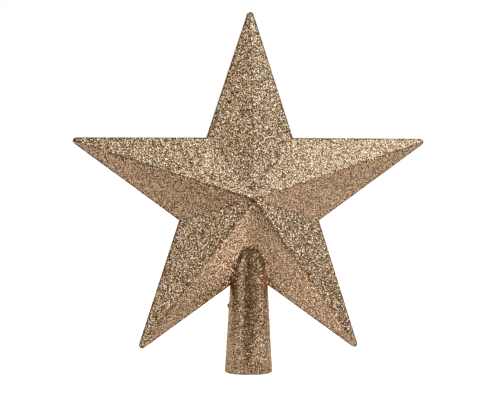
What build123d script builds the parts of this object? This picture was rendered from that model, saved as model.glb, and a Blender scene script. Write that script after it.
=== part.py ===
from build123d import *
from math import atan, cos, hypot, pi, sin, sqrt, tan
import os

# A glittered five-pointed star for the top of a Christmas tree. Two hollow moulded halves
# close round a tapered socket, which slips down over the tree's top shoot.
# Millimetres. The origin is the centre of the socket's mouth, +Z runs up the socket,
# the star's front looks along -Y, and its two halves meet in the plane y = 0.

# The star as moulded, before the glitter goes on
arm_count = 5
tip_radius = 102.5  # centre to the sharp corner that a tip would have
notch_radius = 39.4  # centre to the corner between two arms
tip_round = 1.3
half_depth = 21.5  # seam to the point where the facets meet
rim_half_width = 1.5  # upright band along the outline, each side of the seam
shell_wall = 1.5
star_height = 95.0  # star's centre above the socket's mouth

# Lap joint that keeps the two halves in line: a lip on the front half, a rebate in the rear half
lap_height = 0.9
lap_clearance = 0.1
lap_wall_share = 0.5  # share of the wall that stays outside the lap
lap_tip_round = 0.5

# Locating pins on the rear half and the bosses that take them on the front half, one on each arm
pin_reach = 62.0  # star's centre to the pin
pin_radius = 1.6
pin_length = 4.0
pin_clearance = 0.1
boss_wall = 1.2

# Socket: a short straight bore at the mouth, then a taper up into the star
bore_radius = 10.3
bore_length = 12.0
bore_top_radius = 5.9
mouth_wall = 2.15
socket_wall = 1.5  # at the upper end
mouth_chamfer_share = 0.5  # break of the mouth's outer edge, as a share of its wall

# Collar near the socket's upper end, trapped between ribs inside both halves
collar_drop = 12.0  # star's centre down to the collar's underside
collar_step = 2.6
collar_height = 2.5
socket_stub = 3.5  # socket above the collar
rib_thickness = 2.2
rib_half_width = 14.0
passage_clearance = 0.15  # all round the socket, where it passes through the halves

# Glitter in its glue, sprayed over everything that shows
coat_thickness = 0.4
coat_foot = 0.35  # lowest glitter above the mouth

overrun = 1.0  # by which a cut runs past the face that it opens

# Values that follow from the sizes above
half_step = pi / arm_count
notch_across = notch_radius * sin(half_step)
notch_along = notch_radius * cos(half_step)
edge_length = hypot(notch_across, tip_radius - notch_along)
edge_distance = tip_radius * notch_across / edge_length
facet_slope = atan((half_depth - rim_half_width) / edge_distance)

collar_bottom = star_height - collar_drop
socket_length = collar_bottom + collar_height + socket_stub
mouth_radius = bore_radius + mouth_wall
top_radius = bore_top_radius + socket_wall
taper_slope = (mouth_radius - top_radius) / socket_length
mouth_chamfer = mouth_chamfer_share * mouth_wall
chamfer_growth_share = 2 - sqrt(2)  # of a skin, by which it widens an even chamfer
collar_radius = mouth_radius - taper_slope * collar_bottom + collar_step

# A half is drawn lying on the seam with its face up, and then stood up at the star's centre
front_place = Plane(origin=(0, 0, star_height), x_dir=(1, 0, 0), z_dir=(0, -1, 0))
rear_place = Plane(origin=(0, 0, star_height), x_dir=(-1, 0, 0), z_dir=(0, 1, 0))
upwards = (Align.CENTER, Align.CENTER, Align.MIN)


def star_corners(distance):
    """Corners of the sharp star whose ten edges lie at this distance from its centre."""
    size_share = distance / edge_distance
    corners = []
    for step in range(2 * arm_count):
        radius = size_share * (notch_radius if step % 2 else tip_radius)
        turn = pi / 2 + step * half_step
        corners.append((radius * cos(turn), radius * sin(turn)))
    return corners


def star_outline(distance, corner_round):
    """Star whose ten edges lie at this distance from its centre, with its tips rounded or sharp."""
    sharp = make_face(Polyline(*star_corners(distance), close=True))
    tips = sharp.vertices().sort_by_distance((0, 0, 0))[-arm_count:]
    return fillet(tips, corner_round) if corner_round else sharp


def facet_pyramid(apex):
    """Ten flat facets that fall from one point at this height down to the seam."""
    foot = [Vector(x, y, 0) for x, y in star_corners(apex / tan(facet_slope))]
    point = Vector(0, 0, apex)
    faces = [Face(Wire.make_polygon(foot))]
    for near, far in zip(foot, foot[1:] + foot[:1]):
        faces.append(Face(Wire.make_polygon([near, far, point])))
    return Solid(Shell(faces))


def half_form(skin, corner_round):
    """Solid half of the star with every face but the seam moved outwards by a skin."""
    apex = half_depth + skin / cos(facet_slope)
    upright = extrude(star_outline(edge_distance + skin, corner_round), apex)
    return facet_pyramid(apex) & upright


def around_arms(shape):
    """The shape, drawn on the upper arm, on every arm."""
    return [Rot(0, 0, step * 360 / arm_count) * shape for step in range(arm_count)]


def hollow_half(posts):
    """One half with its even wall, the ribs beside the collar, and posts from the wall up to the seam."""
    solid = half_form(0, tip_round)
    cavity = half_form(-shell_wall, 0)
    rib = Box(2 * rib_half_width, rib_thickness, half_depth, align=(Align.CENTER, Align.MAX, Align.MIN))
    under_collar = Pos(0, -collar_drop - passage_clearance, 0) * rib
    over_collar = Pos(0, -collar_drop + collar_height + passage_clearance + rib_thickness, 0) * rib
    return solid - cavity + [solid & piece for piece in [under_collar, over_collar, *posts]]


def socket_outside(skin):
    """Tapered outside of the socket, chamfered at the mouth, with every face moved outwards by a skin."""
    side = skin / cos(atan(taper_slope)) + taper_slope * skin
    low = mouth_radius + side
    height = socket_length + 2 * skin
    cone = Cone(low, low - taper_slope * height, height, align=upwards)
    foot = cone.edges().group_by(Axis.Z)[0]
    return Pos(0, 0, -skin) * chamfer(foot, mouth_chamfer + chamfer_growth_share * skin)


def collar(skin):
    """Collar on the socket, with every face moved outwards by a skin."""
    ring = Cylinder(collar_radius + skin, collar_height + 2 * skin, align=upwards)
    return Pos(0, 0, collar_bottom - skin) * ring


# Room that the halves and their glitter leave for the socket
socket_room = socket_outside(passage_clearance) + collar(passage_clearance)

# Front half: the lip stands up from the inner part of its wall, and a bored boss waits for every pin
lap_offset = lap_wall_share * shell_wall
lip_outline = star_outline(edge_distance - lap_offset - lap_clearance, lap_tip_round)
lip_hollow = star_outline(edge_distance - shell_wall, 0)
lip = extrude(lip_outline - lip_hollow, -lap_height)
hole_radius = pin_radius + pin_clearance
boss = Pos(0, pin_reach, 0) * Cylinder(hole_radius + boss_wall, half_depth, align=upwards)
pin_hole = Pos(0, pin_reach, 0) * Cylinder(hole_radius, pin_length + pin_clearance, align=upwards)
front_half = hollow_half(around_arms(boss)) + lip - around_arms(pin_hole)
front_shell = front_place * front_half - socket_room

# Rear half: the rebate takes the lip, and a pin on every arm reaches past the seam
rebate_outline = star_outline(edge_distance - lap_offset, lap_tip_round)
rebate = extrude(rebate_outline - lip_hollow, lap_height + lap_clearance)
pin = Pos(0, pin_reach, 0) * Cylinder(pin_radius, half_depth, align=upwards)
pin_end = Pos(0, pin_reach, -pin_length) * Cylinder(pin_radius, pin_length, align=upwards)
rear_half = hollow_half(around_arms(pin)) - rebate + around_arms(pin_end)
rear_shell = rear_place * rear_half - socket_room

# Socket: outside and collar, less the straight bore at the mouth and the tapered bore above it
bore_slope = (bore_radius - bore_top_radius) / (socket_length - bore_length)
straight_bore = Pos(0, 0, -overrun) * Cylinder(bore_radius, bore_length + overrun, align=upwards)
tapered_height = socket_length - bore_length + overrun
tapered_bore = Pos(0, 0, bore_length) * Cone(
    bore_radius, bore_radius - bore_slope * tapered_height, tapered_height, align=upwards
)
branch_socket = socket_outside(0) + collar(0) - straight_bore - tapered_bore

# Glitter: a thin coat over each half of the star and over the same side of the socket
coated_socket = socket_outside(coat_thickness)
sleeve_reach = mouth_radius + mouth_wall
sleeve_side = Box(
    2 * sleeve_reach, star_height - coat_foot, sleeve_reach, align=(Align.CENTER, Align.MAX, Align.MIN)
)
coated_half = half_form(coat_thickness, tip_round + coat_thickness)
bare_half = half_form(0, tip_round)


def glitter_coat(place):
    """Skin over the half that stands at this place, and over the socket on that side of the seam."""
    coated = place * coated_half + (coated_socket & place * sleeve_side)
    return coated - place * bare_half - socket_outside(0)


pieces = {
    "front_shell": front_shell,
    "rear_shell": rear_shell,
    "branch_socket": branch_socket,
    "front_glitter_coat": glitter_coat(front_place),
    "rear_glitter_coat": glitter_coat(rear_place),
}
os.makedirs("parts", exist_ok=True)
for name, piece in pieces.items():
    export_step(piece, f"parts/{name}.step")
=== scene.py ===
import math

import bpy
import numpy as np
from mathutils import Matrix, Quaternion, Vector


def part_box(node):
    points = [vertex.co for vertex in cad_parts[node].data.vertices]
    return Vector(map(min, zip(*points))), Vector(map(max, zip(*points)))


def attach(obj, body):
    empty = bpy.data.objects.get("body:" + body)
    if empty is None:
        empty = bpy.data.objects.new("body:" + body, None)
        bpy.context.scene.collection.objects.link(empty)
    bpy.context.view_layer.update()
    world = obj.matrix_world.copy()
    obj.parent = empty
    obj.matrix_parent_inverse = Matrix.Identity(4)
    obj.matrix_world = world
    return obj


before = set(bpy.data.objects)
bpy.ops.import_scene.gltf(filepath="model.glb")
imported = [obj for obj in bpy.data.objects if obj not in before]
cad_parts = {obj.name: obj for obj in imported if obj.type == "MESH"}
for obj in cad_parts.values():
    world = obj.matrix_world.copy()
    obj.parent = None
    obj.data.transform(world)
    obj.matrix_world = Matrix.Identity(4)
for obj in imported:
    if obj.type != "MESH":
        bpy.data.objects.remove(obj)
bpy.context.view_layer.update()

# Socket: one tapered tube of champagne styrene, injection moulded, that slips over the tree's top shoot.
# Its collar is trapped between the halves of the star. The bore keeps the core pin's draw lines and,
# like the lip of the mouth, has no glitter.
socket_tone = (0.40, 0.265, 0.165, 1.0)
socket_roughness = 0.38
draw_line_pitch, draw_line_height = 0.0011, 0.00005
draw_line_stretch = 0.04
flow_scale, flow_detail = 0.3, 3.0  # slow streaks in the melt, beside the marks' own scale
mark_scale, mark_detail = 1.0, 2.0
flow_shades = (0.72, 1.22)  # of the tone, where the streaks are darkest and lightest
mark_roughness = (-0.12, 0.14)  # least and most that the marks add


def add_node(tree, kind, **settings):
    """One node of this kind in a node tree, with the given properties set."""
    node = tree.nodes.new(kind)
    for name, value in settings.items():
        setattr(node, name, value)
    return node


def add_range(tree, source, target=(0.0, 1.0), interpolation="LINEAR"):
    """Node that carries one range of values over to another, evenly or in a smooth step."""
    node = add_node(tree, "ShaderNodeMapRange", interpolation_type=interpolation)
    for label, value in zip(("From Min", "From Max", "To Min", "To Max"), (*source, *target)):
        node.inputs[label].default_value = value
    return node


def add_group(name, inputs, outputs):
    """Empty shader group with these named sockets, and its own input and output nodes."""
    tree = bpy.data.node_groups.new(name, "ShaderNodeTree")
    for label, kind in inputs.items():
        tree.interface.new_socket(label, in_out="INPUT", socket_type=kind)
    for label, kind in outputs.items():
        tree.interface.new_socket(label, in_out="OUTPUT", socket_type=kind)
    return tree, tree.nodes.new("NodeGroupInput").outputs, tree.nodes.new("NodeGroupOutput").inputs


def add_material(name):
    """New material with one Principled shader: the material, its node tree and the shader's inputs."""
    material = bpy.data.materials.new(name)
    material.use_nodes = True
    tree = material.node_tree
    return material, tree, tree.nodes["Principled BSDF"].inputs


def dress(node, material):
    """Gives every face of a CAD node this material."""
    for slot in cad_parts[node].material_slots:
        slot.material = material


def moulded_styrene_group():
    """Flow marks of moulded styrene: a slow noise darkens and lightens the tone, and a quick one adds to the
    roughness and gives the height."""
    tree, given, result = add_group(
        "moulded_styrene",
        {"Place": "NodeSocketVector", "Tone": "NodeSocketColor", "Base Roughness": "NodeSocketFloat"},
        {"Colour": "NodeSocketColor", "Roughness": "NodeSocketFloat", "Height": "NodeSocketFloat"},
    )
    flow = add_node(tree, "ShaderNodeTexNoise")
    flow.inputs["Scale"].default_value = flow_scale
    flow.inputs["Detail"].default_value = flow_detail
    marks = add_node(tree, "ShaderNodeTexNoise")
    marks.inputs["Scale"].default_value = mark_scale
    marks.inputs["Detail"].default_value = mark_detail
    shade = add_range(tree, (0.0, 1.0), flow_shades)
    tinted = add_node(tree, "ShaderNodeVectorMath", operation="SCALE")
    added = add_range(tree, (0.0, 1.0), mark_roughness)
    roughness = add_node(tree, "ShaderNodeMath", operation="ADD")
    for noise in (flow, marks):
        tree.links.new(noise.inputs["Vector"], given["Place"])
    tree.links.new(shade.inputs["Value"], flow.outputs["Fac"])
    tree.links.new(tinted.inputs["Vector"], given["Tone"])
    tree.links.new(tinted.inputs["Scale"], shade.outputs["Result"])
    tree.links.new(added.inputs["Value"], marks.outputs["Fac"])
    tree.links.new(roughness.inputs[0], added.outputs["Result"])
    tree.links.new(roughness.inputs[1], given["Base Roughness"])
    tree.links.new(result["Colour"], tinted.outputs["Vector"])
    tree.links.new(result["Roughness"], roughness.outputs["Value"])
    tree.links.new(result["Height"], marks.outputs["Fac"])
    return tree


moulded_styrene = moulded_styrene_group()


def styrene_material(name, tone, roughness, mark_pitch, stretch, mark_height):
    """Moulded styrene whose marks are a pitch apart, drawn out along Z where the stretch is under one."""
    material, tree, shader = add_material(name)
    coordinates = add_node(tree, "ShaderNodeTexCoord")
    place = add_node(tree, "ShaderNodeMapping")
    place.inputs["Scale"].default_value = (1 / mark_pitch, 1 / mark_pitch, stretch / mark_pitch)
    styrene = add_node(tree, "ShaderNodeGroup", node_tree=moulded_styrene)
    styrene.inputs["Tone"].default_value = tone
    styrene.inputs["Base Roughness"].default_value = roughness
    bump = add_node(tree, "ShaderNodeBump")
    bump.inputs["Distance"].default_value = mark_height
    tree.links.new(place.inputs["Vector"], coordinates.outputs["Object"])
    tree.links.new(styrene.inputs["Place"], place.outputs["Vector"])
    tree.links.new(shader["Base Color"], styrene.outputs["Colour"])
    tree.links.new(shader["Roughness"], styrene.outputs["Roughness"])
    tree.links.new(bump.inputs["Height"], styrene.outputs["Height"])
    tree.links.new(shader["Normal"], bump.outputs["Normal"])
    return material


socket_styrene = styrene_material(
    "socket_styrene", socket_tone, socket_roughness, draw_line_pitch, draw_line_stretch, draw_line_height
)
dress("branch_socket", socket_styrene)

# Halves of the star: two hollow shells of the same styrene, moulded with their ribs, pins and lap joint
# and cemented round the socket's collar. The glitter hides all of them but the edge beside the socket.
shell_tone = (0.43, 0.29, 0.18, 1.0)
shell_roughness = 0.34
flow_mark_pitch, flow_mark_height = 0.004, 0.00008
flow_mark_stretch = 1.0
shell_styrene = styrene_material(
    "shell_styrene", shell_tone, shell_roughness, flow_mark_pitch, flow_mark_stretch, flow_mark_height
)
dress("front_shell", shell_styrene)
dress("rear_shell", shell_styrene)

# Glue coats: glue sprayed over each closed half and its side of the socket, and dusted with the finest
# glitter. The fine flakes lie at all angles, with brown glue between them. Deep in the corner on the
# socket's right no glitter came, and a strip of the copper primer shows.
fine_flake_pitch = 0.00038
fine_flake_tip = 0.34  # how far a fine flake's normal leaves the surface's
glue_gap = 0.28  # of a flake's width, from its middle line to the glue
glue_tone = (0.115, 0.043, 0.018, 1.0)
glue_roughness = 0.5
glue_sheen = 0.1  # specular level of the matt glue
bare_spot = (0.0081, -0.0055, 0.0518)
bare_squeeze = (1.5, 1.0, 0.6)  # of the way from there, so that the strip is narrow and tall
bare_core, bare_reach = 0.0022, 0.0070  # how far from there no glitter came, and how far it is thin
bare_tone = (0.36, 0.140, 0.074, 1.0)
film_tones = (
    (0.00, (0.045, 0.020, 0.005, 1.0)),
    (0.15, (0.205, 0.119, 0.046, 1.0)),
    (0.35, (0.42, 0.282, 0.163, 1.0)),
    (0.70, (0.565, 0.410, 0.275, 1.0)),
    (1.00, (0.71, 0.560, 0.430, 1.0)),
)
film_roughness = (0.10, 0.30)
film_folds = 7.0  # times that the chance goes through that range
fine_film_share = 0.15  # of the film's tones that the fine flakes use, from the dark end
mix_sockets = {"FLOAT": (2, 3, 0), "RGBA": (6, 7, 2)}  # a Mix node's two inputs and its result
cell_mean = (0.5, 0.5, 0.5)  # of a pattern's random colours


def metallised_film_group():
    """Metallised champagne film: a flake's chance, from 0 to 1, picks its tone and, folded to and fro several
    times, its roughness."""
    tree, given, result = add_group(
        "metallised_film",
        {"Chance": "NodeSocketFloat"},
        {"Colour": "NodeSocketColor", "Roughness": "NodeSocketFloat"},
    )
    tones = add_node(tree, "ShaderNodeValToRGB")
    stops = tones.color_ramp.elements
    stops.remove(stops[-1])
    for at, tone in film_tones[1:]:
        stops.new(at).color = tone
    stops[0].position, stops[0].color = film_tones[0]
    folded = add_node(tree, "ShaderNodeMath", operation="PINGPONG")
    folded.inputs[1].default_value = 1 / film_folds
    roughness = add_range(tree, (0.0, 1 / film_folds), film_roughness)
    tree.links.new(tones.inputs["Fac"], given["Chance"])
    tree.links.new(folded.inputs[0], given["Chance"])
    tree.links.new(roughness.inputs["Value"], folded.outputs["Value"])
    tree.links.new(result["Colour"], tones.outputs["Color"])
    tree.links.new(result["Roughness"], roughness.outputs["Result"])
    return tree


metallised_film = metallised_film_group()


def add_mix(tree, data_type):
    """Mix node for this data type, given as its factor, its first and second input, and its result."""
    node = add_node(tree, "ShaderNodeMix", data_type=data_type)
    first, second, result = mix_sockets[data_type]
    return node.inputs[0], node.inputs[first], node.inputs[second], node.outputs[result]


def fine_glitter_material():
    """Fine flakes in glue, and primer at the bare spot.

    Each cell of a Voronoi pattern is a flake, tipped by its cell's random colour, with glue along the cell's
    edges. With the squeezed distance from the bare spot, the flakes set in and the primer goes over to glue.
    """
    material, tree, shader = add_material("fine_glitter")
    coordinates = add_node(tree, "ShaderNodeTexCoord")
    flakes = add_node(tree, "ShaderNodeTexVoronoi")
    edges = add_node(tree, "ShaderNodeTexVoronoi", feature="DISTANCE_TO_EDGE")
    for pattern in (flakes, edges):
        pattern.inputs["Scale"].default_value = 1 / fine_flake_pitch
        tree.links.new(pattern.inputs["Vector"], coordinates.outputs["Object"])
    chance = add_node(tree, "ShaderNodeSeparateColor")
    sunk = add_node(tree, "ShaderNodeMath", operation="MULTIPLY")
    sunk.inputs[1].default_value = fine_film_share
    film = add_node(tree, "ShaderNodeGroup", node_tree=metallised_film)
    tree.links.new(chance.inputs["Color"], flakes.outputs["Color"])
    tree.links.new(sunk.inputs[0], chance.outputs["Red"])
    tree.links.new(film.inputs["Chance"], sunk.outputs["Value"])

    squeezed = add_node(tree, "ShaderNodeVectorMath", operation="MULTIPLY")
    squeezed.inputs[1].default_value = bare_squeeze
    away = add_node(tree, "ShaderNodeVectorMath", operation="DISTANCE")
    away.inputs[1].default_value = np.multiply(bare_spot, bare_squeeze)
    reached = add_range(tree, (bare_core, bare_reach), interpolation="SMOOTHSTEP")
    covered = add_range(tree, (0.0, glue_gap), interpolation="SMOOTHSTEP")
    film_there = add_node(tree, "ShaderNodeMath", operation="MULTIPLY")
    tree.links.new(squeezed.inputs[0], coordinates.outputs["Object"])
    tree.links.new(away.inputs[0], squeezed.outputs["Vector"])
    tree.links.new(reached.inputs["Value"], away.outputs["Value"])
    tree.links.new(covered.inputs["Value"], edges.outputs["Distance"])
    tree.links.new(film_there.inputs[0], covered.outputs["Result"])
    tree.links.new(film_there.inputs[1], reached.outputs["Result"])

    glue_share, primer, glue, under = add_mix(tree, "RGBA")
    primer.default_value, glue.default_value = bare_tone, glue_tone
    film_share, under_tone, film_tone, tone = add_mix(tree, "RGBA")
    gloss_share, under_roughness, flake_roughness, roughness = add_mix(tree, "FLOAT")
    under_roughness.default_value = glue_roughness
    tree.links.new(glue_share, reached.outputs["Result"])
    tree.links.new(film_share, film_there.outputs["Value"])
    tree.links.new(under_tone, under)
    tree.links.new(film_tone, film.outputs["Colour"])
    tree.links.new(gloss_share, film_there.outputs["Value"])
    tree.links.new(flake_roughness, film.outputs["Roughness"])

    surface = add_node(tree, "ShaderNodeNewGeometry")
    centred = add_node(tree, "ShaderNodeVectorMath", operation="SUBTRACT")
    centred.inputs[1].default_value = cell_mean
    tipped = add_node(tree, "ShaderNodeVectorMath", operation="MULTIPLY_ADD")
    tipped.inputs[1].default_value = (2 * fine_flake_tip,) * 3
    facing = add_node(tree, "ShaderNodeVectorMath", operation="NORMALIZE")
    tree.links.new(centred.inputs[0], flakes.outputs["Color"])
    tree.links.new(tipped.inputs[0], centred.outputs["Vector"])
    tree.links.new(tipped.inputs[2], surface.outputs["Normal"])
    tree.links.new(facing.inputs[0], tipped.outputs["Vector"])

    tree.links.new(shader["Base Color"], tone)
    tree.links.new(shader["Roughness"], roughness)
    tree.links.new(shader["Metallic"], film_there.outputs["Value"])
    tree.links.new(shader["Normal"], facing.outputs["Vector"])
    shader["Specular IOR Level"].default_value = glue_sheen
    return material


fine_glitter = fine_glitter_material()
dress("front_glitter_coat", fine_glitter)
dress("rear_glitter_coat", fine_glitter)

# Coarse glitter of the star: square-cut flakes of metallised film, shaken over the wet glue on the facets and
# the upright rim. They bed at all angles, with a corner in the glue and a corner proud of it. The glue rounds
# the ridges, fills the valleys and the corner round the socket, and runs thin along the outer edges.
arm_count = 5
tip_radius = 0.1025  # centre to the sharp corner that a moulded tip would have
notch_radius = 0.0394  # centre to the moulded corner between two arms
tip_round = 0.0017  # over the glitter
star_height = 0.095  # star's centre above the socket's mouth
half_depth = 0.0215  # seam to the moulded point where the facets meet
moulded_rim = 0.0015  # half of the upright band, before the glitter
coat_thickness = 0.0004
half_step = math.pi / arm_count
notch_across = notch_radius * math.sin(half_step)
notch_along = notch_radius * math.cos(half_step)
edge_length = math.hypot(notch_across, tip_radius - notch_along)
moulded_edge = tip_radius * notch_across / edge_length  # centre to a moulded edge
tip_share = moulded_edge / tip_radius  # sine of half a tip's angle
side_share = math.sqrt(1 - tip_share**2)
edge_distance = moulded_edge + coat_thickness
facet_fall = (half_depth - moulded_rim) / moulded_edge
apex_depth = half_depth + coat_thickness * math.hypot(1, facet_fall)
rim_depth = apex_depth - facet_fall * edge_distance
tip_centre = (edge_distance - tip_round) / tip_share  # star's centre to the middle of a rounded tip

ridge_round = 0.00058  # half of the ridge along a level arm that the glue rounds off
ridge_run_share = 0.55  # by which the glue, running down, adds to that below and takes from it above
ridge_slip = 0.7  # of that half, by which the round lies below the ridge of a level arm
valley_round = 0.0022  # half of the lowest valley that the glue fills
valley_run_power = 4  # by which it fills the higher ones less
apex_round = 0.0024  # how far the glue flattens the point
apex_x, apex_drop = -0.0011, 0.0006  # middle of the flattened point, from the star's centre


def star_face(x, z, stray):
    """Depth of the glittered face over the seam plane, its tilt along X and Z, and the distance to its edge.

    A point's turn about the star's centre picks the nearest arm and the side of its axis, and so one of ten
    edges. The depth falls from the apex in step with the point's distance along that edge's normal, and the
    face tilts along it. Near an arm's axis the tilt goes over evenly from one side's to the other's, as on a
    ridge that glue has rounded, near a valley to the next arm's, and round the apex it fades. A flake's stray
    is the share of a ridge's or a valley's half width by which its tilt belongs to a place beside its own.
    """
    turn = np.arctan2(x, z - star_height)
    arm = np.round(turn / (2 * half_step)) * 2 * half_step
    radius = np.hypot(x, z - star_height)
    along = radius * np.cos(turn - arm)
    aside = radius * np.sin(turn - arm)
    distance = tip_share * along + side_share * np.abs(aside)
    ridge = ridge_round * (1 - ridge_run_share * np.cos(arm))
    side = side_share * np.clip(aside / ridge - ridge_slip * np.sin(arm) + stray, -1, 1)
    flat = np.clip(np.hypot(x - apex_x, z - star_height + apex_drop) / apex_round, 0, 1)
    tilt_x = flat * (tip_share * np.sin(arm) + side * np.cos(arm))
    tilt_z = flat * (tip_share * np.cos(arm) - side * np.sin(arm))
    valley = arm + np.where(aside < 0, -half_step, half_step)
    pool = valley_round * ((1 - np.cos(valley)) / 2) ** valley_run_power
    pooled = np.clip(radius * np.sin(half_step - np.abs(turn - arm)) / pool + stray, -1, 1)
    down = tilt_x * np.sin(valley) + tilt_z * np.cos(valley)
    over = pooled * (tilt_x * np.cos(valley) - tilt_z * np.sin(valley))
    tilt_x = down * np.sin(valley) + over * np.cos(valley)
    tilt_z = down * np.cos(valley) - over * np.sin(valley)
    round_tip = tip_share * tip_centre + np.hypot(along - tip_centre, aside)
    margin = edge_distance - np.where(along < tip_centre, distance, round_tip)
    return apex_depth - facet_fall * distance, tilt_x, tilt_z, margin


mouth_radius = 0.01245
socket_top_radius = 0.0074
socket_length = 0.089
mouth_chamfer = 0.001075
socket_taper = (mouth_radius - socket_top_radius) / socket_length
socket_reach = mouth_radius + coat_thickness * math.hypot(1, socket_taper)
socket_foot_radius = socket_reach - mouth_chamfer + coat_thickness * (math.sqrt(2) - 1)


def socket_radius(z):
    """Radius of the glittered socket at a height: a straight taper, cut at 45 degrees near the mouth."""
    taper = socket_reach - socket_taper * z
    return np.minimum(taper, socket_foot_radius + z)


end_top = 0.0686  # height of the round end that the glue in the corner gives the socket on the star
end_half_width, end_drop = 0.00725, 0.0084  # half of that end, at this drop from its top
end_power = 2.8  # of the half width, with which the drop grows
end_soft = 0.0010  # half of the stretch in which the tilt goes over from the star's to the socket's
end_rise_from = 0.0520  # height from which the flakes on the socket tilt up towards its end
end_rise = 0.11  # upward share that this adds to their normals at the end's top
# Painted shade in the crease round the socket's end: fewer flakes hold along its outline, so the dark coat
# shows.
crease_shade_left, crease_shade_right = 0.0036, 0.0022  # painted crease shade: how far from the end's outline few flakes hold, on the socket
crease_shade_star_share = 0.45  # of that, how far it shows on the star
crease_shade_right_from = 0.003  # X at which the right one takes over
crease_shade_hold_share = 0.50  # of the flakes that hold along the outline


def unit(vectors):
    """Each row of an array, at length one."""
    return vectors / np.linalg.norm(vectors, axis=1, keepdims=True)


def socket_end(x, z):
    """How far a point, seen from the front, lies inside the round outline of the socket's end.

    The drop from the outline's top grows with a power of its half width. What is left of the drop after that,
    over the length of its gradient, is the distance to the first order.
    """
    drop, across = (end_top - z) / end_drop, np.abs(x) / end_half_width
    slope = end_power * across ** (end_power - 1) / end_half_width
    return (drop - across**end_power) / np.hypot(1 / end_drop, slope)


def socket_rise(z):
    """Upward share of the normals round the socket: its taper, and evenly more where its end rounds off."""
    return socket_taper + end_rise * np.clip((z - end_rise_from) / (end_top - end_rise_from), 0, 1)


def end_normals(inside, stray, on_star, on_socket):
    """Normals that go over evenly, with a flake's stray, from the star's to the socket's at the outline."""
    share = np.clip((1 + inside / end_soft + stray) / 2, 0, 1)[:, None]
    return unit((1 - share) * unit(on_star) + share * unit(on_socket))


def crease_shade_width(x, inside):
    """Width of the painted crease shade along the end's outline, wider on the left and on the socket's side.
    """
    return np.where(x < crease_shade_right_from, crease_shade_left, crease_shade_right) * np.where(inside > 0, 1, crease_shade_star_share)


flake_pitch = 0.00047
flake_knock = 0.38  # of a pitch, by which a flake leaves its place in the pattern
flake_stray = 0.6  # usual stray of a flake's tilt
edge_thin_width = 0.00095  # along the sharp outer edges, where the glue runs thin
edge_hold_share = 0.06  # of the flakes that hold there
rim_hold_share = 0.50  # of the flakes that hold on the upright rim
tip_steps = 9  # points along a rounded tip


def knocked_rows(width, height, pitch, rng):
    """Points a pitch apart in rows over a rectangle, every second row moved by half a pitch, and each point
    knocked off its place at random."""
    across = np.arange(0, width, pitch)
    up = np.arange(0, height, pitch)
    u, v = np.meshgrid(across, up)
    u = u + pitch / 2 * (np.arange(len(up)) % 2)[:, None]
    knock = pitch * flake_knock
    places = np.stack([u.ravel(), v.ravel()], axis=1)
    return places + rng.uniform(-knock, knock, places.shape)


def holds(rng, gap, width, share):
    """Which places keep their flake: a share of them at no gap, rising in a smooth step to all at a width."""
    rise = np.clip(gap / width, 0, 1)
    return rng.uniform(0, 1, len(gap)) < share + (1 - share) * rise * rise * (3 - 2 * rise)


def facet_places(rng, way):
    """Places and normals on the ten facets of the front (way -1) or the rear (way 1), in rows over a square,
    wherever the point lies within the star's edges and outside the socket."""
    reach = tip_radius + coat_thickness
    spots = knocked_rows(2 * reach, 2 * reach, flake_pitch, rng) - reach
    x, z = spots[:, 0], spots[:, 1] + star_height
    stray = rng.normal(0, flake_stray, len(x))
    depth, tilt_x, tilt_z, margin = star_face(x, z, stray)
    clear = np.where(z < star_height, np.hypot(x, depth) - socket_radius(z), star_height)
    inside = socket_end(x, z)
    leaning = np.clip(x / socket_radius(z), -1, 1)
    on_star = np.stack([tilt_x * facet_fall, np.full(len(x), float(way)), tilt_z * facet_fall], axis=1)
    on_socket = np.stack([leaning, way * np.sqrt(1 - leaning**2), socket_rise(z)], axis=1)
    beside = clear < end_half_width
    normals = end_normals(np.where(beside, inside, -star_height), stray, on_star, on_socket)
    keep = (margin > 0) & (clear > 0) & holds(rng, margin, edge_thin_width, edge_hold_share)
    outline_gap = np.where(beside, np.abs(inside), star_height)
    # Painted crease shade: fewer flakes along the socket end's outline, so the dark coat shows there.
    keep &= holds(rng, outline_gap, crease_shade_width(x, inside), crease_shade_hold_share)
    return np.stack([x, way * depth, z], axis=1)[keep], normals[keep]


def rim_places(rng, way):
    """Places and normals on the upright band round one half: along each arm's edge, round its tip and back,
    by the depth from the seam."""
    notch = notch_radius * edge_distance / moulded_edge
    notch_u, notch_v = notch * math.cos(half_step), notch * math.sin(half_step)
    bend = np.linspace(math.acos(tip_share), -math.acos(tip_share), tip_steps)
    along = np.concatenate([[notch_u], tip_centre + tip_round * np.cos(bend), [notch_u]])
    aside = np.concatenate([[notch_v], tip_round * np.sin(bend), [-notch_v]])
    facing = np.concatenate([bend[:1], bend, bend[-1:]])
    walked = np.concatenate([[0], np.cumsum(np.hypot(np.diff(along), np.diff(aside)))])
    places, normals = [], []
    for arm in np.arange(arm_count) * 2 * half_step:
        spots = knocked_rows(walked[-1], rim_depth, flake_pitch, rng)
        at = np.clip(spots[:, 0], 0, walked[-1])
        u, v, face = (np.interp(at, walked, values) for values in (along, aside, facing))
        y = way * np.clip(spots[:, 1], 0, rim_depth)
        x = u * math.sin(arm) + v * math.cos(arm)
        z = star_height + u * math.cos(arm) - v * math.sin(arm)
        places.append(np.stack([x, y, z], axis=1))
        normals.append(np.stack([np.sin(arm + face), np.zeros(len(at)), np.cos(arm + face)], axis=1))
    places, normals = np.concatenate(places), np.concatenate(normals)
    x, y, z = places.T
    clear = np.where(z < star_height, np.hypot(x, y) - socket_radius(z), star_height)
    keep = (clear > 0) & (rng.uniform(0, 1, len(x)) < rim_hold_share)
    return places[keep], normals[keep]


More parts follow.
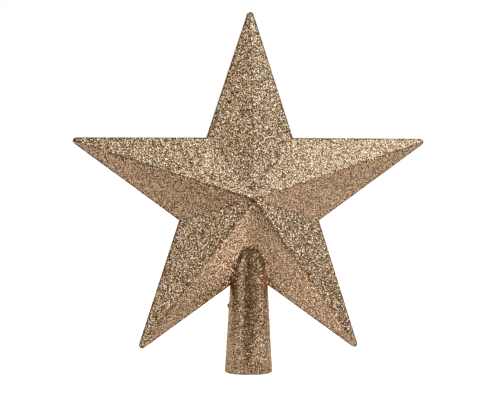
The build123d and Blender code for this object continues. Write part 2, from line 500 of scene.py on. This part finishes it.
flake_size = 0.00038
flake_size_spread = 0.2
flake_tip = 0.115  # usual lean of a flake, in radians
flake_steepest = 1.0  # lean that no flake passes, in radians
flake_bed_share = 0.55  # of a flake's lean that stands proud
flake_rise = 0.00003
flake_root = 0.00028  # depth in the glue at which a flake's edges meet
proud_share = 0.03  # of all flakes, that lean far more than the rest
proud_lean = 3.5  # by which they lean more
steep_normal = 0.9  # Z of a normal from which the X axis gives the first way along the surface
film_edge_tint = (1.0, 0.78, 0.60, 1.0)  # of what the film throws back at a glancing angle
lacquer_weight, lacquer_roughness = 0.05, 0.1


def coarse_glitter_material():
    """Metallised film under clear lacquer, each flake with the tone and roughness that its chance gives."""
    material, tree, shader = add_material("coarse_glitter")
    chance = add_node(tree, "ShaderNodeAttribute", attribute_name="flake_chance")
    film = add_node(tree, "ShaderNodeGroup", node_tree=metallised_film)
    tree.links.new(film.inputs["Chance"], chance.outputs["Fac"])
    tree.links.new(shader["Base Color"], film.outputs["Colour"])
    tree.links.new(shader["Roughness"], film.outputs["Roughness"])
    shader["Metallic"].default_value = 1.0
    shader["Specular Tint"].default_value = film_edge_tint
    shader["Coat Weight"].default_value = lacquer_weight
    shader["Coat Roughness"].default_value = lacquer_roughness
    return material


coarse_glitter = coarse_glitter_material()


def cut_flakes(places, normals, rng):
    """Five points of each flake, four corners of film and the root, and a chance for each flake.

    A flake is a rectangle that leans from the surface's normal by two normally spread angles and is turned at
    random. It is lifted by a share of its lean, and its root lies straight below its place.
    """
    count = len(places)
    proud = np.where(rng.uniform(0, 1, (count, 1)) < proud_share, proud_lean, 1.0)
    lean = np.clip(rng.normal(0, flake_tip, (count, 2)) * proud, -flake_steepest, flake_steepest)
    lean = np.tan(lean)
    spin = rng.uniform(0, 2 * math.pi, (count, 1))
    half = flake_size / 2 * np.exp(rng.normal(0, flake_size_spread, (count, 2)))
    chance = rng.uniform(0, 1, count)
    upright = np.abs(normals[:, 2:]) < steep_normal
    first = unit(np.cross(normals, np.where(upright, (0.0, 0.0, 1.0), (1.0, 0.0, 0.0))))
    second = np.cross(normals, first)
    film = unit(normals + lean[:, :1] * first + lean[:, 1:] * second)
    along = np.cos(spin) * first + np.sin(spin) * second
    along = unit(along - (along * film).sum(1, keepdims=True) * film)
    across = np.cross(film, along)
    a, b = along * half[:, :1], across * half[:, 1:]
    lift = flake_rise + flake_bed_share * (np.abs((a * normals).sum(1)) + np.abs((b * normals).sum(1)))
    middle = places + normals * lift[:, None]
    root = places - normals * flake_root
    return np.stack([middle - a - b, middle + a - b, middle + a + b, middle - a + b, root], axis=1), chance


def strew_flakes(name, places, normals, rng):
    """Closed flakes, one at each place, as one piece.

    Every flake is its rectangle of film and the four triangles from the rectangle's sides down to the root.
    In the piece's own UV map each flake lies unfolded in a square of its own, in rows.
    """
    points, chance = cut_flakes(places, normals, rng)
    count, point_count = points.shape[:2]
    sides = ((0, 1, 2, 3), (1, 0, 4), (2, 1, 4), (3, 2, 4), (0, 3, 4))
    corners = np.concatenate(sides)
    starts = np.cumsum([0, *map(len, sides[:-1])])
    each = np.arange(count)[:, None]
    mesh = bpy.data.meshes.new(name)
    mesh.vertices.add(point_count * count)
    mesh.vertices.foreach_set("co", points.astype(np.float32).ravel())
    mesh.loops.add(len(corners) * count)
    mesh.loops.foreach_set("vertex_index", (corners + point_count * each).astype(np.int32).ravel())
    mesh.polygons.add(len(sides) * count)
    mesh.polygons.foreach_set("loop_start", (starts + len(corners) * each).astype(np.int32).ravel())
    mesh.update(calc_edges=True)
    mesh.shade_flat()
    chances = mesh.attributes.new("flake_chance", "FLOAT", "POINT")
    chances.data.foreach_set("value", np.repeat(chance, point_count).astype(np.float32))
    near, low, mid, high, far = 0.05, 0.25, 0.5, 0.75, 0.95
    unfolded = np.array([
        (low, low), (high, low), (high, high), (low, high),
        (high, low), (low, low), (mid, near),
        (high, high), (high, low), (far, mid),
        (low, high), (high, high), (mid, far),
        (low, low), (low, high), (near, mid),
    ])
    squares = math.ceil(math.sqrt(count))
    square = np.stack([np.arange(count) % squares, np.arange(count) // squares], axis=1)
    spread = (unfolded[None] + square[:, None]) / squares
    mesh.uv_layers.new(name="OFBake").data.foreach_set("uv", spread.astype(np.float32).ravel())
    mesh.materials.append(coarse_glitter)
    piece = bpy.data.objects.new(name, mesh)
    bpy.context.scene.collection.objects.link(piece)
    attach(piece, "root")


def star_flakes(half, way, seed):
    """Flakes over the facets and the rim of one half, as a left and a right piece."""
    rng = np.random.default_rng(seed)
    facets, rim = facet_places(rng, way), rim_places(rng, way)
    places, normals = (np.concatenate(both) for both in zip(facets, rim))
    left = places[:, 0] < 0
    strew_flakes(half + "_left_flakes", places[left], normals[left], rng)
    strew_flakes(half + "_right_flakes", places[~left], normals[~left], rng)


star_flakes("front", way=-1, seed=11)
star_flakes("rear", way=1, seed=12)

# Coarse glitter of the socket: the same flakes, rolled over the tube from just above its mouth up to where it
# goes into the star. They are thin over the bare strip on the right, and as painted shade they are thinned on
# the left under the arm and along the end's outline; a run of glue holds a clump of them on the left edge.
glitter_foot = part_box("front_glitter_coat")[0].z + flake_size / 2
bare_hold_share = 0.25  # of the flakes that hold on the bare strip
# Painted shade on the socket's left below the lower-left arm: most flakes are left off so the dark coat
# shows.
arm_shade_spot = (-0.0098, -0.0022, 0.0470)
arm_shade_reach, arm_shade_hold_share = 0.0070, 0.12  # how far that goes, and the flakes that hold at its middle
clump_turn = math.radians(-96.0)  # round the socket from its front
clump_height = 0.0365
clump_half_girth, clump_half_length, clump_rise = 0.0012, 0.0016, 0.0010
clump_count = 110


def clump(rng):
    """Places and normals of the clump: spread evenly over an ellipse of its girth and length, and heaped at
    random up to the height of a dome over it."""
    out, way = np.sqrt(rng.uniform(0, 1, clump_count)), rng.uniform(0, 2 * math.pi, clump_count)
    z = clump_height + clump_half_length * out * np.sin(way)
    turn = clump_turn + clump_half_girth / socket_reach * out * np.cos(way)
    normals = np.stack([np.sin(turn), -np.cos(turn), np.zeros(clump_count)], axis=1)
    heap = clump_rise * rng.uniform(0, 1, clump_count) * (1 - out**2)
    return normals * (socket_radius(z) + heap)[:, None] + z[:, None] * np.array([0, 0, 1]), normals


def socket_flakes(name, seed):
    """Flakes round the tube, in rows along its girth and up its height, where it stands outside the star."""
    rng = np.random.default_rng(seed)
    girth = 2 * math.pi * socket_reach
    spots = knocked_rows(girth, star_height - glitter_foot, flake_pitch, rng)
    turn, z = spots[:, 0] / socket_reach, np.maximum(spots[:, 1], 0) + glitter_foot
    radius = socket_radius(z)
    x, y = radius * np.sin(turn), -radius * np.cos(turn)
    on_chamfer = socket_foot_radius + z < socket_reach - socket_taper * z
    rise = np.where(on_chamfer, -1.0, socket_rise(z))
    stray = rng.normal(0, flake_stray, len(x))
    depth, tilt_x, tilt_z, margin = star_face(x, z, stray)
    inside = np.where(margin > 0, socket_end(x, z), star_height)
    stand = np.where(margin > 0, np.abs(y) - depth, star_height)
    places = np.stack([x, y, z], axis=1)
    on_socket = np.stack([np.sin(turn), -np.cos(turn), rise], axis=1)
    on_star = np.stack([tilt_x * facet_fall, np.sign(y), tilt_z * facet_fall], axis=1)
    normals = end_normals(inside, stray, on_star, on_socket)
    bare = np.linalg.norm((places - bare_spot) * bare_squeeze, axis=1) - bare_core
    thin = np.linalg.norm(places - arm_shade_spot, axis=1)
    keep = (stand > 0) & holds(rng, bare, bare_reach - bare_core, bare_hold_share)
    # Fewer flakes round the painted shade spot on the left, so the dark coat shows.
    keep &= holds(rng, thin, arm_shade_reach, arm_shade_hold_share)
    # Painted crease shade: fewer flakes along the end's outline, so the dark coat shows there.
    keep &= holds(rng, np.abs(inside), crease_shade_width(x, inside), crease_shade_hold_share)
    clump_places, clump_normals = clump(rng)
    places = np.concatenate([places[keep], clump_places])
    normals = np.concatenate([normals[keep], clump_normals])
    strew_flakes(name, places, normals, rng)


socket_flakes("socket_flakes", seed=13)

# Stage: a wide pale floor under the socket's mouth, in a tent of glowing white cloth, grey at its top and dim
# brown on the lens's side, with soft lights overhead, right, left, behind and at the foot. A dark brown cloth
# lies on the floor before the lens. The lens sees neither cloth, only the floor and a white room.
white = (1.0, 1.0, 1.0, 1.0)
black = (0.0, 0.0, 0.0, 1.0)
floor_reach = 6.0
floor_sides = 64
floor_colour = (0.46, 0.41, 0.39, 1.0)
floor_roughness = 0.9
floor_glow = (1.0, 0.965, 0.965, 1.0)
floor_lift = 0.945  # own light that the camera and reflections see, over the lamps' light


def add_matt(name, colour, roughness):
    """Material without any sheen: the material, its node tree and the shader's inputs."""
    material, tree, shader = add_material(name)
    shader["Base Color"].default_value = colour
    shader["Roughness"].default_value = roughness
    shader["Specular IOR Level"].default_value = 0.0
    return material, tree, shader


def stage_piece(name, points, faces, material):
    """Faces through these points, as part of the stage."""
    mesh = bpy.data.meshes.new(name)
    mesh.from_pydata(points.tolist(), [], faces)
    mesh.materials.append(material)
    piece = bpy.data.objects.new(name, mesh)
    bpy.context.scene.collection.objects.link(piece)
    return piece


def floor_material():
    """Pale matt floor, shaded as it is lit, with a light of its own for the camera, mirrors and glass."""
    material, tree, shader = add_matt("pale_floor", floor_colour, floor_roughness)
    shader["Emission Color"].default_value = floor_glow
    path = add_node(tree, "ShaderNodeLightPath")
    camera_or_mirror = add_node(tree, "ShaderNodeMath", operation="MAXIMUM")
    seen = add_node(tree, "ShaderNodeMath", operation="MAXIMUM")
    lift = add_node(tree, "ShaderNodeMath", operation="MULTIPLY")
    lift.inputs[1].default_value = floor_lift
    tree.links.new(camera_or_mirror.inputs[0], path.outputs["Is Camera Ray"])
    tree.links.new(camera_or_mirror.inputs[1], path.outputs["Is Glossy Ray"])
    tree.links.new(seen.inputs[0], camera_or_mirror.outputs["Value"])
    tree.links.new(seen.inputs[1], path.outputs["Is Transmission Ray"])
    tree.links.new(lift.inputs[0], seen.outputs["Value"])
    tree.links.new(shader["Emission Strength"], lift.outputs["Value"])
    return material


floor_turns = np.linspace(0, 2 * math.pi, floor_sides, endpoint=False)
floor_rim = np.stack([np.cos(floor_turns), np.sin(floor_turns), np.zeros(floor_sides)], axis=1)
stage_piece("floor", floor_reach * floor_rim, [list(range(floor_sides))], floor_material())

cloth_colour = (0.16, 0.105, 0.065, 1.0)
cloth_roughness = 1.0
cloth_turn = math.radians(-9.0)  # towards the lens
cloth_half_spread = math.radians(76.0)
cloth_tongue = math.radians(34.0)  # half of the stretch in which it comes close to the star
cloth_near, cloth_edge, cloth_far = 0.105, 0.34, 2.0
cloth_rise = 0.0015
cloth_steps = 41


def arc_round_star(turns, reach):
    """Points just above the floor, at these turns from the star's front and so far out from the socket."""
    return np.stack([reach * np.sin(turns), -reach * np.cos(turns), np.full(len(turns), cloth_rise)], axis=1)


cloth_turns = cloth_half_spread * np.linspace(-1, 1, cloth_steps)
cloth_reach = np.where(np.abs(cloth_turns) < cloth_tongue, cloth_near, cloth_edge)
cloth_inner = arc_round_star(cloth_turn + cloth_turns, cloth_reach)
cloth_outer = arc_round_star(cloth_turn + cloth_turns[::-1], np.full(cloth_steps, cloth_far))
cloth_rim = np.concatenate([cloth_inner, cloth_outer])
dark_cloth = add_matt("dark_cloth", cloth_colour, cloth_roughness)[0]
cloth = stage_piece("dark_cloth", cloth_rim, [list(range(len(cloth_rim)))], dark_cloth)
cloth.visible_camera = cloth.visible_diffuse = cloth.visible_shadow = False

tent_reach = 7.0
tent_sides, tent_rings = 64, 24
tent_dim_tone = (0.25, 0.195, 0.090, 1.0)
tent_turn = math.radians(6.0)  # of the dim side's middle, from the star's front to the right
tent_dim_range = (-0.35, 3.5)  # from the star, away from the dim side, where the cloth goes over to white
tent_top_share = 0.55  # of the white cloth's light
tent_top_range = (0.70, 3.15)  # heights between which the cloth goes over to grey


def tent_material():
    """Glowing cloth: white, dimmed in smooth steps by its height and by its place along the turned axis."""
    material, tree, shader = add_matt("tent_cloth", black, cloth_roughness)
    shader["Emission Strength"].default_value = 1.0
    coordinates = add_node(tree, "ShaderNodeTexCoord")
    place = add_node(tree, "ShaderNodeSeparateXYZ")
    away = add_node(tree, "ShaderNodeVectorMath", operation="DOT_PRODUCT")
    away.inputs[1].default_value = (-math.sin(tent_turn), math.cos(tent_turn), 0.0)
    side = add_range(tree, tent_dim_range, interpolation="SMOOTHSTEP")
    top = add_range(tree, tent_top_range, (1.0, tent_top_share), "SMOOTHSTEP")
    lit = add_node(tree, "ShaderNodeMath", operation="MULTIPLY")
    lit_share, dim_tone, white_tone, tone = add_mix(tree, "RGBA")
    dim_tone.default_value, white_tone.default_value = tent_dim_tone, white
    tree.links.new(place.inputs["Vector"], coordinates.outputs["Object"])
    tree.links.new(away.inputs[0], coordinates.outputs["Object"])
    tree.links.new(side.inputs["Value"], away.outputs["Value"])
    tree.links.new(top.inputs["Value"], place.outputs["Z"])
    tree.links.new(lit.inputs[0], side.outputs["Result"])
    tree.links.new(lit.inputs[1], top.outputs["Result"])
    tree.links.new(lit_share, lit.outputs["Value"])
    tree.links.new(shader["Emission Color"], tone)
    return material


def light_tent():
    """Half ball of cloth round the stage, in rings from the floor up to the zenith."""
    turn, height = np.meshgrid(
        np.linspace(0, 2 * math.pi, tent_sides, endpoint=False), np.linspace(0, math.pi / 2, tent_rings)
    )
    level = np.cos(height)
    points = tent_reach * np.stack([level * np.cos(turn), level * np.sin(turn), np.sin(height)], axis=2)
    ring, side = np.meshgrid(np.arange(tent_rings - 1), np.arange(tent_sides), indexing="ij")
    low, following = ring * tent_sides, (side + 1) % tent_sides
    high = low + tent_sides
    faces = np.stack([low + following, low + side, high + side, high + following], axis=2)
    tent = stage_piece("light_tent", points.reshape(-1, 3), faces.reshape(-1, 4).tolist(), tent_material())
    tent.visible_camera = False


light_tent()
white_room = bpy.data.worlds.new("white_room")
white_room.use_nodes = True
white_room.node_tree.nodes["Background"].inputs["Color"].default_value = white
bpy.context.scene.world = white_room


def softbox(name, place, aim, size, radiance, colour):
    """Flat soft light of this size, turned to a point, as bright all over as a surface of that radiance."""
    lamp = bpy.data.lights.new(name, "AREA")
    lamp.shape = "RECTANGLE"
    lamp.size, lamp.size_y = size
    lamp.energy = radiance * math.pi * size[0] * size[1]
    lamp.color = colour
    box = bpy.data.objects.new(name, lamp)
    bpy.context.scene.collection.objects.link(box)
    box.location = place
    box.rotation_euler = (Vector(aim) - box.location).to_track_quat("-Z", "Y").to_euler()
    box.visible_camera = False


star_middle = (0, 0, star_height)
foot_place, over_foot = (0.039, -0.050, 0.001), (0.039, -0.050, 1.0)
softbox(
    "overhead_light", place=(0.48, -0.42, 0.86), aim=star_middle,
    size=(1.2, 1.0), radiance=2.92, colour=(0.86, 1.0, 1.12),
)
softbox(
    "right_light", place=(1.37, -0.51, 0.42), aim=star_middle,
    size=(0.38, 0.38), radiance=4.6, colour=(0.86, 1.0, 1.17),
)
softbox(
    "left_light", place=(-1.19, -0.83, 0.58), aim=star_middle,
    size=(0.76, 0.72), radiance=2.63, colour=(0.91, 1.0, 1.09),
)
softbox(
    "foot_light", place=foot_place, aim=over_foot,
    size=(0.064, 0.036), radiance=1.60, colour=(1.0, 0.96, 0.98),
)
softbox(
    "rear_light", place=(-0.35, 0.80, 0.80), aim=star_middle,
    size=(0.9, 0.7), radiance=2.4, colour=(0.90, 1.0, 1.03),
)

# Camera: a long lens, a little to the left of the star and just above its centre, rolled by a trace.
# The lens follows from the width of the picture at the star, and the depth of field stays off.
view_turn = math.radians(-7.0)  # round the star from its front
view_roll = math.radians(0.26)
view_distance = 1.12
view_height = 0.128
view_aim = (0.0004, 0.0, 0.0937)
frame_width = 0.2705  # width of the picture at the star
sensor_width = 36.0  # in millimetres, as the lens is
camera = bpy.data.objects.new("camera", bpy.data.cameras.new("camera"))
bpy.context.scene.collection.objects.link(camera)
camera.location = (view_distance * math.sin(view_turn), -view_distance * math.cos(view_turn), view_height)
camera.data.sensor_width = sensor_width
camera.data.lens = sensor_width * view_distance / frame_width
level_view = (Vector(view_aim) - camera.location).to_track_quat("-Z", "Y")
camera.rotation_euler = (level_view @ Quaternion((0, 0, 1), view_roll)).to_euler()
bpy.context.scene.camera = camera
bpy.context.scene.view_settings.view_transform = "Standard"
